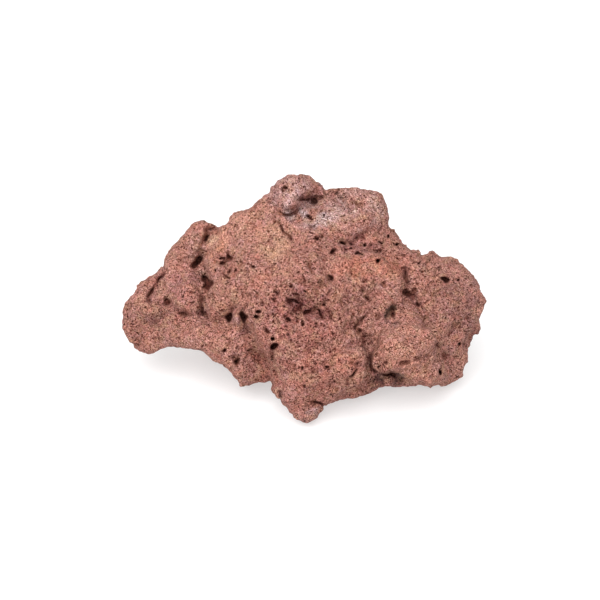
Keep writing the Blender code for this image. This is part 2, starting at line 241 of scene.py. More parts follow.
# What shows on the face: the wide marks add up, and of the narrow ones the deepest counts.
MARKS = {
    # crown
    "crown_hollow": Hole((314, 200), (8.0, 2.6), 3.4, 5),
    "crown_hollow_left": Groove(
        ((303, 203), (308, 199), (315, 196.5), (323, 197.5), (328, 201)),
        1.3, 1.6,
    ),
    "crown_foot": Groove(((277, 207), (281, 214), (288, 215), (295, 211.5), (301, 208)), 1.3, 2.0),
    "crown_swell": Dish((295, 190), (24, 18), -1.0),
    "crown_right_fill": Dish((330, 200), (8, 6), -1.0),
    "crown_fill": Dish((295, 203), (14, 7), -1.6, 15),
    "crown_pores": Hole((286, 187), (1.6, 1.4), 3),
    "crown_pore_b": Hole((283, 191), (1.1, 1.0), 2),
    "crown_pore_c": Hole((289, 191), (1.1, 1.0), 2),
    "crack": Groove(((276, 221), (280, 228), (285, 234), (290, 238)), 1.3, 1.6),
    "shelf_foot_fill": Dish((301, 229), (15, 7), -0.9),
    "shelf_pore": Hole((311.5, 218), (2.2, 1.2), 3, -10),
    "shelf_pore_b": Hole((324.8, 214.8), (1.1, 1.0), 2),
    # shoulder
    "rope_a": Groove(((330, 196), (338, 203), (346, 210)), 1.5, 0.9),
    "rope_b": Groove(((341, 199), (346, 204), (352, 211)), 1.2, 0.7),
    "shoulder_line": Groove(((357, 203), (363, 203)), 1.0, 1.2),
    "shoulder_pore": Hole((364.4, 221.3), (1.3, 1.6), 2.5),
    "ledge": Furrow(((334, 241), (345, 244), (356, 243), (366, 246), (378, 250)), 2.6, 1.2),
    "slot_a": Hole((341.5, 243), (4.6, 1.9), 3.4, -5),
    "slot_b": Groove(((350, 244), (355, 246), (360, 245.5)), 0.9, 1.6),
    "slot_c": Groove(((356, 238.5), (360, 236), (365, 236.5)), 1.1, 2.0),
    "slot_d": Hole((366.3, 243.6), (3.6, 2.0), 4.0, 10),
    "slot_e": Groove(((354, 254), (359, 253), (364, 254.5)), 1.1, 1.9),
    "slot_f": Groove(((341, 248.5), (346, 250.5), (351, 249)), 1.1, 2.0),
    "slot_g": Hole((378.6, 250), (2.4, 1.2), 2.8, 25),
    "slot_h": Hole((381, 240.6), (2.0, 1.0), 3),
    "slot_i": Groove(((337, 232), (341, 235), (343, 239)), 1.0, 1.5),
    "slot_j": Hole((320.6, 236.9), (1.6, 1.4), 3),
    "slot_k": Hole((315, 238.8), (1.9, 1.2), 3, 10),
    "slot_l": Hole((388.8, 236.3), (1.6, 1.0), 2.5),
    "slot_m": Hole((398, 243.8), (1.3, 1.1), 2.5),
    "slot_n": Hole((332.5, 253), (2.4, 1.1), 3, 40),
    "upright_a": Groove(((310, 257), (309.5, 264), (312, 271)), 1.0, 1.3),
    "upright_b": Groove(((330, 256), (331, 262)), 1.0, 1.4),
    "upright_c": Groove(((323, 254), (325, 262)), 1.0, 1.0),
    "brow": Hole((332, 278.5), (1.9, 1.8), 3),
    "brow_edge": Furrow(((327, 270), (332, 278), (336, 286)), 1.6, 1.0),
    "brow_lip": Dish((324, 281), (6, 4), -0.7),
    "mid_a": Hole((378.6, 261.6), (2.4, 1.2), 3, 40),
    "mid_b": Hole((364.4, 280.6), (2.0, 1.8), 1.8),
    "mid_c": Hole((365, 297.5), (3.2, 1.4), 3),
    "mid_d": Hole((362.5, 290), (1.8, 2.4), 1.8),
    "mid_e": Hole((383.8, 285), (1.8, 2.4), 1.8),
    "mid_f": Hole((376, 316), (2.0, 1.4), 2.2),
    "mid_g": Hole((403.8, 255.8), (1.8, 1.6), 3),
    "mid_h": Hole((415, 260), (1.3, 1.3), 2.5),
    "mid_i": Hole((420.6, 262.5), (1.3, 1.1), 2.5),
    # left cleft and the hollow beside it
    "west": Furrow(
        ((215, 228), (206, 236), (202, 247), (199, 260), (203, 270), (207, 283)),
        3.6, 2.0,
    ),
    "west_top": Hole((204, 236.5), (2.4, 4.2), 2.8, -20),
    "west_middle": Hole((197, 261), (5.8, 3.2), 4.0, 40),
    "west_middle_b": Hole((192, 266), (2.0, 3.4), 2.8, -10),
    "west_pore": Hole((203.8, 268), (1.1, 1.1), 2.5),
    "west_low": Hole((205, 283), (2.8, 6.0), 3.8, 20),
    "west_line": Groove(((206, 286), (203.5, 298), (203, 308), (204, 316)), 1.5, 2.4),
    "west_pit": Hole((203, 313), (1.5, 2.2), 3.0),
    "west_pits": Hole((213.5, 262), (1.4, 1.2), 2.2),
    "west_pits_b": Hole((222.5, 264), (1.6, 1.2), 2.2, 20),
    "west_pits_c": Hole((237, 263), (1.8, 1.3), 2.2),
    "west_pits_d": Hole((231, 271), (1.4, 1.2), 2.2),
    "west_pits_e": Hole((246, 276), (2.2, 1.2), 2.4, 15),
    "west_pits_f": Hole((216, 274), (1.3, 1.5), 2.2),
    "west_pits_g": Hole((254, 268), (1.4, 1.1), 2.0),
    "west_lump": Dish((222, 294), (20, 18), -1.3),
    "west_fill": Dish((141, 314), (19, 9), -1.5),
    "knob": Dish((219, 247), (12, 14), -1.0, 10),
    "hollow": Hole((229, 257), (3.6, 2.6), 4.0, 20),
    "hollow_tail": Hole((222, 257.5), (2.4, 1.2), 2),
    "hollow_line": Groove(((218, 269), (224, 273), (229, 278)), 1.2, 1.8),
    "hollow_line_b": Groove(((236, 272), (240, 275), (247, 273)), 1.2, 1.8),
    # left lobe
    "left_groove": Groove(((163, 273), (157, 281), (153, 289), (150.5, 297), (151, 304)), 1.5, 1.9),
    "left_spot": Hole((150.6, 296.3), (1.6, 1.9), 3),
    "left_hollow": Hole((168.5, 301), (3.0, 3.6), 2.1, 15),
    "left_dish": Hole((184, 314.5), (6.5, 1.6), 1.6, -5),
    "left_pore_a": Hole((183, 296), (1.2, 1.2), 2.5),
    "left_pore_b": Hole((192.5, 304), (1.2, 1.2), 2.5),
    "left_swell": Dish((178, 290), (16, 18), -0.6),
    # the small arch
    "arch_top": Groove(((232, 308), (236, 306.5), (241, 309)), 1.2, 2.4),
    "arch_left": Hole((230, 315.5), (2.6, 4.4), 4.4, -25),
    "arch_right": Hole((243.5, 318), (1.7, 6.8), 4.4, 18),
    "arch_tail": Groove(((246, 322), (247, 328), (247, 334)), 1.5, 1.4),
    "arch_lump": Dish((237, 317), (5, 9), -1.8),
    "arch_shade": Groove(((205, 316), (214, 320), (224, 319)), 1.3, 1.0),
    # low left
    "slit": Hole((237.3, 361.5), (1.3, 4.8), 3.2, 14),
    "slit_pore": Hole((225, 353), (1.3, 1.3), 2),
    "low_line": Groove(((249, 350), (257, 349), (261, 351)), 1.0, 1.3),
    "valley": Furrow(((250, 336), (254, 350), (263, 364), (271, 377), (279, 392)), 5.0, 0.9),
    "valley_fill": Dish((248, 345), (9, 14), -1.5),
    "valley_line": Groove(((273, 352), (276, 364), (277, 374)), 1.6, 1.2),
    # bowl
    "bowl": Dish((303, 307), (33, 24), 1.3),
    "bowl_rim": Furrow(
        ((259, 304), (266, 289), (282, 279), (303, 275), (322, 279), (333, 288)),
        3.6, -1.0,
    ),
    "bowl_arc": Groove(((289, 301), (295, 300), (300.5, 304), (298, 310)), 1.5, 1.7),
    "bowl_right": Groove(((311, 308), (317, 311), (321.5, 315), (323, 319)), 1.4, 2.0),
    "bowl_edge": Groove(((329, 311), (332, 314), (334.5, 319)), 1.2, 1.8),
    "bowl_a": Hole((303.8, 290), (2.8, 1.7), 3),
    "bowl_b": Hole((296.9, 295.6), (2.0, 1.0), 2.5),
    "bowl_c": Hole((260, 311), (2.6, 1.4), 3),
    "bowl_d": Hole((258.8, 317.5), (2.0, 1.4), 3),
    "bowl_e": Hole((272.5, 301), (1.6, 1.2), 2.5),
    "bowl_f": Hole((287.5, 318.8), (2.4, 2.0), 2.5),
    "bowl_g": Hole((302.5, 324), (2.4, 1.7), 3),
    "bowl_h": Hole((295, 323), (1.5, 1.3), 2.5),
    "bowl_i": Hole((272.5, 336.3), (1.9, 1.9), 3),
    "bowl_j": Hole((275, 345), (1.9, 1.9), 3),
    "bowl_k": Hole((266.9, 331.9), (1.5, 1.4), 2.5),
    "bowl_l": Hole((288, 335), (2.2, 1.8), 2.5),
    "bowl_m": Hole((320.6, 337.5), (1.5, 1.3), 2.5),
    "bowl_o": Hole((309, 301), (1.5, 1.2), 2.2),
    "bowl_p": Hole((284, 306), (1.6, 1.3), 2.2),
    "bowl_q": Hole((316, 325), (1.5, 1.2), 2.2),
    "bowl_r": Hole((279, 293), (1.5, 1.2), 2.2),
    "bowl_s": Hole((291, 287), (1.3, 1.1), 2.2),
    "bowl_t": Hole((324, 304), (1.5, 1.2), 2.2),
    "bowl_u": Hole((268, 321), (1.5, 1.3), 2.2),
    "bowl_n": Hole((306, 314), (2.4, 1.6), 2),
    # lower face and tip
    "low_a": Hole((301, 368), (1.5, 1.4), 2.5),
    "low_b": Hole((313.8, 369.4), (1.5, 1.6), 2.5),
    "low_c": Hole((326, 368), (1.8, 1.6), 3),
    "low_d": Hole((333.8, 382.5), (1.5, 1.3), 2.5),
    "low_e": Hole((330.6, 395.6), (2.2, 1.2), 2.5),
    "low_f": Hole((303.8, 387.5), (1.4, 1.2), 2.5),
    "low_g": Hole((320.6, 359.4), (1.2, 1.2), 2.5),
    "tip_line": Groove(((303, 405), (311, 403), (320, 404), (325, 407)), 1.3, 1.9),
    "tip_crease": Groove(((305, 405), (306, 413), (305, 419)), 1.3, 1.4),
    # crack and cheek
    "east_crack": Groove(((366, 315), (362.5, 321), (358.5, 326), (355, 331)), 0.9, 3.0),
    "rough_fill": Dish((360, 338), (13, 30), -3.0, 8),
    "rough_a": Hole((360, 331), (2.6, 1.6), 2.2, 20),
    "rough_b": Hole((366, 338), (1.8, 2.0), 2.0, -20),
    "rough_c": Hole((358, 341), (1.4, 2.0), 2.0),
    "rough_d": Hole((364, 347), (1.8, 1.5), 2.0),
    "cheek": Slab(
        ((330, 356), (340, 351), (352, 352), (357, 360), (353, 371), (346, 379), (334, 376)),
        1.2, 2.4,
    ),
    "cheek_line": Groove(((357, 369), (353, 375), (347, 381.5)), 1.0, 2.2),
    "cheek_pit": Hole((356.5, 363.5), (2.4, 2.4), 1.6),
    # east cleft
    "east": Furrow(
        ((405, 270), (407, 280), (409, 292), (417, 303), (424, 315), (428, 324)),
        3.4, 1.5,
    ),
    "east_top": Hole((406.6, 276.5), (1.6, 4.2), 2.5, 12),
    "east_middle": Hole((408, 294), (3.4, 1.4), 2.0, -5),
    "east_middle_b": Hole((413, 296), (2.2, 2.4), 1.9),
    "east_low": Hole((418, 304), (2.4, 1.5), 2.1, -40),
    "east_shade": Hole((425.5, 318), (1.5, 3.6), 1.8, -30),
    "right_slot": Hole((445, 280.3), (4.8, 1.5), 3.6, -25),
    "right_pore": Hole((458.8, 280), (1.3, 1.2), 2.5),
    "right_pit": Hole((467.5, 317.5), (1.4, 2.2), 1.9, -20),
    "right_pit_b": Hole((452.5, 303.8), (1.3, 1.2), 2),
    "right_pit_c": Hole((450, 334), (1.5, 1.8), 2.5),
    "right_pit_d": Hole((461, 342.5), (1.5, 1.8), 2.5),
    "square": Hole((393.5, 314.5), (4.6, 4.8), 2.4, 5),
    # face plate
    "plate": Slab(
        (
            (375, 367), (371, 357), (375, 344), (382, 333), (393, 328), (405, 326), (425, 327),
            (435, 334), (437, 342), (430, 351), (424, 357), (417, 363), (398, 369), (386, 373),
        ),
        3.2, 1.8,
    ),
    "plate_low": Slab(
        (
            (399, 368), (404, 363), (418, 359), (432, 357), (440, 366), (437, 378), (425, 383),
            (408, 381), (401, 376),
        ),
        2.6, 2.0,
    ),
    "plate_foot": Groove(((370, 357), (373, 365), (379, 371), (387, 375), (396, 376)), 1.4, 2.2),
    "plate_east": Groove(((434, 343), (429, 351), (422, 357), (412, 360), (401, 364)), 1.8, 1.3),
    "plate_east_b": Groove(((436, 346), (440, 352), (445, 358)), 1.6, 1.8),
    "plate_pit": Hole((439, 373), (1.6, 3.0), 3.5, -15),
    "plate_pits": Hole((386, 361), (2.4, 1.8), 1.8),
    "plate_pits_b": Hole((382, 366), (1.6, 1.6), 2),
}

# Colours and textures on the face, each laid over the ones before it. Three of them are painted
# shade: beside the face plate, under it, and along the underside of the lower edge.
PATCHES = {
    "upper_left": Patch((246, 234), (34, 26), 25, (0.36, 0.175, 0.130), 0.6),
    "crown": Patch((296, 191), (26, 18), 0, (0.400, 0.256, 0.250), 1.0, 1.0, 1.3),
    "shelf": Patch((308, 216), (27, 11), 0, (0.365, 0.272, 0.266), 1.2, 0.35, 0.2),
    "shoulder": Patch((358, 208), (30, 20), 0, (0.370, 0.230, 0.207), 1.0, 0.9, 0.7),
    "tan": Patch((274, 244), (14, 18), 0, (0.390, 0.226, 0.152), 1.0, 0.9, 0.5),
    "slots": Patch((354, 245), (22, 10), 0, (0.30, 0.135, 0.122), 0.9, 1.1, 1.6),
    "knob": Patch((218, 247), (12, 13), 0, (0.455, 0.212, 0.141), 1.2, 0.5, 0.5),
    "knob_edge": Patch((213, 242), (6, 7), 0, (0.55, 0.33, 0.235), 1.2, 0.5, 0.3),
    "orange_band": Patch((372, 270), (34, 13), 0, (0.360, 0.138, 0.096)),
    "cheek": Patch((343, 364), (15, 15), 0, (0.290, 0.106, 0.075), 0.9, 0.35, 0.5),
    "bowl": Patch((303, 307), (36, 26), 0, (0.198, 0.071, 0.065), 0.9, 1.3, 3.2),
    "bowl_low": Patch((300, 338), (34, 22), 0, (0.270, 0.100, 0.081), 0.8, 1.0, 2.2),
    "low_face": Patch((302, 380), (30, 26), 0, (0.220, 0.079, 0.061), 0.7, 1.0, 1.3),
    "west_lump": Patch((222, 294), (19, 16), 0, (0.325, 0.160, 0.122), 0.7, 1.2, 1.2),
    "west_purple": Patch((190, 279), (11, 10), 0, (0.285, 0.130, 0.128), 0.8, 0.8, 1.0),
    "arch_lump": Patch((237, 317), (4, 7), 0, (0.30, 0.155, 0.145), 1.2, 0.6, 0.3),
    "west_hollow": Patch((199, 260), (8, 22), 5, (0.37, 0.214, 0.172), 0.8, 1.2, 1.6),
    "hollow_rough": Patch((233, 267), (18, 11), 10, (0.310, 0.145, 0.115), 0.8, 1.4, 2.4),
    "left_lobe": Patch((180, 290), (22, 20), 0, (0.260, 0.110, 0.095), 0.8, 1.0, 0.8),
    "left_end": Patch((148, 325), (27, 20), 0, (0.172, 0.070, 0.058), 0.8, 1.0, 0.8),
    "right_lobe": Patch((448, 308), (24, 26), 0, (0.192, 0.089, 0.076), 0.8),
    "right_edge": Patch((475, 320), (10, 40), 0, (0.176, 0.085, 0.076), 0.8),
    "plate": Patch((404, 346), (30, 20), 0, (0.350, 0.168, 0.125), 0.9, 0.6, 0.4),
    "plate_low": Patch((415, 372), (16, 11), 0, (0.365, 0.165, 0.118), 0.8, 0.8, 0.6),
    "tip": Patch((312, 415), (8, 6), 0, (0.285, 0.200, 0.200), 0.9, 0.7, 0.4),
    "rough": Patch((361, 335), (9, 16), 0, (0.385, 0.205, 0.170), 0.7, 1.4, 1.6),
    "mid_rough": Patch((365, 294), (17, 15), 0, (0.155, 0.072, 0.060), 0.8, 1.4, 1.8),
    "square": Patch((393.5, 314.5), (8.5, 9), 0, (0.035, 0.022, 0.017), 2.5, 0.5, 0.1),
    # painted shadow under the face plate
    "shade_under_plate": Patch((388, 380), (16, 6), 10, (0.080, 0.034, 0.030), 1.7),
    "plate_shade": Patch((441, 350), (7, 12), 20, (0.205, 0.090, 0.074), 0.8),
    "valley": Patch((256, 366), (13, 15), 20, (0.190, 0.060, 0.041), 0.8, 1.1, 1.2),
    # painted shade along the underside of the lower edge
    "underside_shade": Patch((360, 393), (24, 4), 17, (0.25, 0.11, 0.088), 1.3),
}

BASE_TINT = (0.305, 0.142, 0.113)
LIFT = (0.975, 0.925, 0.912)  # makes up for what grain, pores and stains change

# Stains over the tint, one after another: (colour, size, detail, seed, where one starts and is
# full, strength)
STAINS = (
    ((0.30, 0.155, 0.145), 9.0, 3.0, 11.0, (0.50, 0.64), 0.35),
    ((0.31, 0.180, 0.112), 5.0, 4.0, 29.0, (0.48, 0.62), 0.42),
    ((0.33, 0.118, 0.088), 6.5, 4.0, 41.0, (0.50, 0.64), 0.35),
)
STAIN_ROUGHNESS = 0.65

# Crumbs of stone, the flecks on them and the dust on those, in millimetres
CRUMB_SIZE = 1.15
FLECK_SIZE = 0.44
DUST_SIZE = 0.30
CRUMB_WANDER = 1.1
CRUMB_HUES = (((1.03, 0.96, 0.95), (0.97, 1.04, 1.03)), ((1.0, 1.01, 0.95), (1.0, 0.99, 1.06)))

# Painted pores: (how far apart, the widest as a share of that, where the layer is moved to)
PAINTED_PORES = ((1.3, 0.38, (0, 0, 0)), (2.6, 0.30, (7, 3, 5)))

# Green and blue follow red by these powers, so that what is dark is redder too
SHADE_POWERS = (1.42, 1.55)
GRAIN_AND_GLINT_POWERS = (1.22, 1.3)

# The stage, in metres
FLOOR_SIZE = 6
FLOOR_GREY = 0.5
FLOOR_GLOW = 0.52
WORLD_STRENGTH = 0.90
LAMP_PLACE = (-0.25, -0.75, 1.0)
LAMP_AIM = (0, 0, 0.03)
LAMP_SIZE = 1.2
LAMP_ENERGY = 19
WHITE = (1, 1, 1, 1)


def face_to_row():
    """From the face frame in millimetres to the row frame in metres."""
    lean = Matrix.Rotation(math.radians(-LEAN_DEG), 4, "X")
    return Matrix.Translation(FACE_CENTRE) @ lean @ Matrix.Scale(MM, 4)


def solid_in_face_frame():
    """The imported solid's points in the face frame, and its triangles."""
    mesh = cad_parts[NODE].data
    mesh.calc_loop_triangles()
    matrix = np.array(face_to_row().inverted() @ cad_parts[NODE].matrix_world)
    points = points_of(mesh) @ matrix[:3, :3].T + matrix[:3, 3]
    corners = np.empty(len(mesh.loop_triangles) * 3, np.int32)
    mesh.loop_triangles.foreach_get("vertices", corners)
    return points.astype(np.float32), corners.reshape(-1, 3).astype(np.uint32)


def points_of(mesh):
    points = np.empty(len(mesh.vertices) * 3, np.float32)
    mesh.vertices.foreach_get("co", points)
    return points.reshape(-1, 3)


def pixels_of(x, y, z):
    """The photograph's pixel where a place shows."""
    scale = VIEW_DISTANCE / (VIEW_DISTANCE + y) / MM_PER_PX
    return CENTRE_PX[0] + x * scale, CENTRE_PX[1] - z * scale


def smooth(values, low, high):
    """From zero at the low value to one at the high one, gently at both ends."""
    share = np.clip((values - low) / (high - low), 0, 1)
    return share * share * (3 - 2 * share)


def fading(away, full, gone):
    """One up to the first distance, falling gently to zero at the second."""
    return smooth(gone - away, 0, gone - full)


def spline_weights(count, spacing):
    """For each of a row of voxels, how much it takes from each point of a lattice that wide apart."""
    along = np.arange(count) * VOXEL / spacing
    nodes = np.arange(-1, int(along[-1]) + 3)
    away = np.abs(along[:, None] - nodes[None, :])
    near = 2 / 3 - away**2 + away**3 / 2
    far = np.clip(2 - away, 0, None) ** 3 / 6
    return np.where(away < 1, near, far).astype(np.float32)


def smooth_noise(shape, spacing, chance):
    """Smooth noise over a grid, with a standard deviation of one."""
    rows = [spline_weights(count, spacing) for count in shape]
    values = chance.standard_normal([row.shape[1] for row in rows]).astype(np.float32)
    values = (rows[0] @ values.reshape(len(values), -1)).reshape(-1, *values.shape[1:])
    values = np.matmul(rows[1], values)
    values = values.reshape(-1, values.shape[2]) @ rows[2].T
    values = values.reshape(shape)
    return values / values.std()


def blurred(values, radius):
    """The values after a blur of that standard deviation."""
    reach = int(math.ceil(2.5 * radius / VOXEL))
    kernel = np.exp(-((np.arange(-reach, reach + 1) * VOXEL / radius) ** 2) / 2)
    kernel = (kernel / kernel.sum()).astype(np.float32)
    for axis in range(3):
        padded = np.pad(values, [(reach, reach) if i == axis else (0, 0) for i in range(3)], "edge")
        total = np.zeros_like(values)
        for step, weight in enumerate(kernel):
            part = [slice(None)] * 3
            part[axis] = slice(step, step + values.shape[axis])
            total += weight * padded[tuple(part)]
        values = total
    return values


class Field:
    """Distances to the rock's surface on a grid in the face frame, below zero inside it."""

    def __init__(self, points, corners):
        self.low = np.floor((points.min(axis=0) - MARGIN) / VOXEL).astype(int)
        high = np.ceil((points.max(axis=0) + MARGIN) / VOXEL).astype(int)
        self.shape = tuple(high - self.low + 1)
        grid = openvdb.FloatGrid.createLevelSetFromPolygons(
            points,
            corners,
            transform=openvdb.createLinearTransform(voxelSize=VOXEL),
            halfWidth=float(BAND_VOXELS),
        )
        self.values = np.empty(self.shape, np.float32)
        grid.copyToArray(self.values, ijk=self.corner())

    def corner(self):
        return tuple(int(i) for i in self.low)

    def axes(self):
        return [
            ((low + np.arange(count)) * VOXEL).astype(np.float32)
            for low, count in zip(self.low, self.shape)
        ]

    def index_of(self, points):
        """The voxel nearest to each point, as three rows of numbers."""
        index = np.rint(points / VOXEL).astype(int) - self.low
        return np.clip(index, 0, np.array(self.shape) - 1).T

    def slope_at(self, index):
        """The way out of the rock at a voxel."""
        slope = np.zeros(3, np.float32)
        for axis, count in enumerate(self.shape):
            ahead, back = list(index), list(index)
            ahead[axis] = min(index[axis] + 2, count - 1)
            back[axis] = index[axis] - 2
            slope[axis] = self.values[tuple(ahead)] - self.values[tuple(back)]
        return slope / (np.linalg.norm(slope) + 1e-6)

    def mesh(self):
        """The surface where the field is zero: its points and four-cornered faces."""
        grid = openvdb.FloatGrid(BAND_VOXELS * VOXEL)
        grid.transform = openvdb.createLinearTransform(voxelSize=VOXEL)
        grid.copyFromArray(self.values, ijk=self.corner())
        points, _, faces = grid.convertToPolygons()
        return points, faces


class Face:
    """The side of the rock that the photograph shows, as a map over X and Z."""

    def __init__(self, field, chance):
        x, y, z = field.axes()
        inside = field.values < 0
        front = np.where(inside.any(axis=1), y[inside.argmax(axis=1)], NOWHERE)
        self.front = front.astype(np.float32)
        self.left, self.up = pixels_of(x[:, None], spread(self.front), z[None, :])
        shape = (len(x), 1, len(z))
        for spacing, move in WARP:
            self.left = self.left + move / MM_PER_PX * smooth_noise(shape, spacing, chance)[:, 0]
            self.up = self.up + move / MM_PER_PX * smooth_noise(shape, spacing, chance)[:, 0]
        self.groove_depth = uneven(shape, GROOVE_DEPTH, chance)
        patchy = uneven(shape, PATCH_SHARE, chance)
        self.hole_width = uneven(shape, HOLE_WIDTH, chance)
        self.hole_depth = uneven(shape, HOLE_DEPTH, chance)
        self.shares = {
            name: patchy * fading(self.away(patch), 0.5, 1.5) for name, patch in PATCHES.items()
        }

    def away(self, mark):
        """How far each place is from the middle of a mark, as a share of its half size."""
        turn = math.radians(mark.turn)
        across, down = self.left - mark.at[0], self.up - mark.at[1]
        along = across * math.cos(turn) - down * math.sin(turn)
        aside = across * math.sin(turn) + down * math.cos(turn)
        return np.hypot(along / mark.half[0], aside / mark.half[1])

    def from_path(self, path):
        """How far each place is from a path, in pixels."""
        nearest = np.full(self.left.shape, np.inf)
        for (x0, y0), (x1, y1) in zip(path, path[1:]):
            length = (x1 - x0) ** 2 + (y1 - y0) ** 2
            share = ((self.left - x0) * (x1 - x0) + (self.up - y0) * (y1 - y0)) / length
            share = np.clip(share, 0, 1)
            away = np.hypot(self.left - x0 - share * (x1 - x0), self.up - y0 - share * (y1 - y0))
            nearest = np.minimum(nearest, away)
        return nearest

    def within(self, outline):
        """How far inside an outline each place is, in pixels, below zero outside."""
        closed = outline + outline[:1]
        inside = np.zeros(self.left.shape, bool)
        for (x0, y0), (x1, y1) in zip(closed, closed[1:]):
            if y0 == y1:
                continue
            crosses = (self.up > y0) != (self.up > y1)
            inside ^= crosses & (self.left < x0 + (self.up - y0) * (x1 - x0) / (y1 - y0))
        away = self.from_path(closed)
        return np.where(inside, away, -away)

    def edges(self):
        """How much slimmer than the solid the rock is at each place, for the sake of its outline."""
        return column(sum(mark.depth_on(self) for mark in EDGES.values()))

    def swells(self):
        """How deep the wide and gentle marks go together."""
        return column(sum(mark.depth_on(self) for mark in MARKS.values() if mark.wide))

    def cuts(self):
        """How deep the narrow marks go, the deepest wherever two meet."""
        depths = [mark.depth_on(self) for mark in MARKS.values() if not mark.wide]
        return column(np.max(depths, axis=0))

    def tints(self):
        """The colour of the stone at each place, with painted shade in a few patches."""
        tints = np.broadcast_to(np.array(BASE_TINT, np.float32), (*self.left.shape, 3)).copy()
        for name, patch in PATCHES.items():
            share = np.clip(self.shares[name] * patch.amount, 0, 1)[..., None]
            tints += share * (np.array(patch.tint) - tints)
        return tints

    def against_usual(self, kind):
        """How much relief or how many pores each place has, where the usual is one."""
        values = np.ones(self.left.shape, np.float32)
        for name, patch in PATCHES.items():
            values += np.clip(self.shares[name], 0, 1) * (getattr(patch, kind) - values)
        return values


def uneven(shape, kind, chance):
    spacing, usual, swing, least, most = kind
    return np.clip(usual + swing * smooth_noise(shape, spacing, chance)[:, 0], least, most)


def column(values):
    """A map over X and Z, the same all the way through the rock."""
    return values.astype(np.float32)[:, None, :]


def spread(front):
    """The front's depth, carried outwards past the outline."""
    front = np.pad(front, 1, "edge")
    for _ in range(int(SPREAD / VOXEL)):
        beside = [np.roll(front, step, axis) for axis in (0, 1) for step in (1, -1)]
        counted = sum(other < NOWHERE for other in beside)
        total = sum(np.where(other < NOWHERE, other, 0) for other in beside)
        unknown = (front >= NOWHERE) & (counted > 0)
        front = np.where(unknown, total / np.maximum(counted, 1), front)
    return np.where(front < NOWHERE, front, 0)[1:-1, 1:-1]


def nearness(behind):
    """One at the face, falling to zero behind it."""
    return np.clip((REACH_BEHIND - behind) / REACH_FADE, 0, 1)


def dig(field, density, count, radii, sunk, chance):
    """Opens round pores on chance places of the surface."""
    surface = np.argwhere(np.abs(field.values) < VOXEL / 2)
    wanted = density[tuple(surface.T)]
    picks = surface[chance.choice(len(surface), count, replace=False, p=wanted / wanted.sum())]
    for index in picks:
        radius = radii[0] + (radii[1] - radii[0]) * chance.random() ** SMALL_ONES
        reach = int(radius * DIG_REACH / VOXEL) + 2
        low = np.maximum(index - reach, 1)
        high = np.minimum(index + reach + 1, np.array(field.shape) - 1)
        box = tuple(slice(a, b) for a, b in zip(low, high))
        ranges = [np.arange(a, b) for a, b in zip(low, high)]
        grids = np.meshgrid(*ranges, indexing="ij", sparse=True)
        centre = index - field.slope_at(index) * radius * sunk / VOXEL
        stretch = chance.uniform(*STRETCH, 3)
        away = np.sqrt(sum(((g - c) / s) ** 2 for g, c, s in zip(grids, centre, stretch))) * VOXEL
        field.values[box] = np.maximum(field.values[box], radius - away)


def sculpted():
    """The carved field, the field before its narrow marks were cut, and the face."""
    field = Field(*solid_in_face_frame())
    chance = np.random.default_rng(SEED)
    field.values = blurred(field.values, FACET_BLUR)
    face = Face(field, chance)
    near = nearness(field.axes()[1][None, :, None] - face.front[:, None, :])
    field.values += face.edges() + face.swells() * near
    uncut = field.values.copy()
    field.values += face.cuts() * near
    relief = 1 + near * (column(face.against_usual("relief")) - 1)
    spacing, strength = PORE_CLUMPS
    clumps = np.exp(strength * smooth_noise(field.shape, spacing, chance))
    density = (1 + near * (column(face.against_usual("pores")) - 1)) * clumps
    dig(field, 1.001 - near, PIT_COUNT, PIT_RADII, PIT_SUNK, chance)
    dig(field, density, PORE_COUNT, PORE_RADII, PORE_SUNK, chance)
    for spacing, height, folded in RELIEF:
        noise = smooth_noise(field.shape, spacing, chance)
        if folded:
            noise = FOLD - np.abs(noise)
        field.values -= height * noise * relief
    return field, uncut, face


def largest_part(points, faces):
    """Only the largest of the surface's separate parts: no crumbs, and no bubbles shut inside."""
    label = np.arange(len(points))
    while True:
        least = label[faces].min(axis=1)
        new = label.copy()
        for corner in range(faces.shape[1]):
            np.minimum.at(new, faces[:, corner], least)
        new = new[new]
        if (new == label).all():
            break
        label = new
    names, counts = np.unique(label, return_counts=True)
    kept = label == names[counts.argmax()]
    renumber = np.cumsum(kept) - 1
    return points[kept], renumber[faces[kept[faces[:, 0]]]]


def piece_from(points, faces):
    mesh = bpy.data.meshes.new("stone")
    mesh.vertices.add(len(points))
    mesh.vertices.foreach_set("co", points.astype(np.float32).ravel())
    mesh.loops.add(faces.size)
    mesh.loops.foreach_set("vertex_index", faces.astype(np.int32).ravel())
    mesh.polygons.add(len(faces))
    starts = np.arange(len(faces), dtype=np.int32) * faces.shape[1]
    mesh.polygons.foreach_set("loop_start", starts)
    mesh.update(calc_edges=True)
    piece = bpy.data.objects.new("stone", mesh)
    bpy.context.collection.objects.link(piece)
    return piece


def simplify(piece, field, face):
    """Leaves fewer faces, most of them on the face."""
    mesh = piece.data
    points = points_of(mesh)
    i, _, k = field.index_of(points)
    behind = points[:, 1] - face.front[i, k]
    group = piece.vertex_groups.new(name="back")
    group.add(range(len(points)), FACE_WEIGHT, "REPLACE")
    group.add(np.flatnonzero(behind > REACH_BEHIND).tolist(), BACK_WEIGHT, "REPLACE")
    modifier = piece.modifiers.new("Simplify", "DECIMATE")
    modifier.ratio = TRIANGLES / (2 * len(mesh.polygons))
    modifier.use_collapse_triangulate = True
    modifier.vertex_group = group.name
    modifier.vertex_group_factor = BACK_EASE
    graph = bpy.context.evaluated_depsgraph_get()
    made = bpy.data.meshes.new_from_object(piece.evaluated_get(graph), depsgraph=graph)
    piece.modifiers.clear()
    piece.data = made


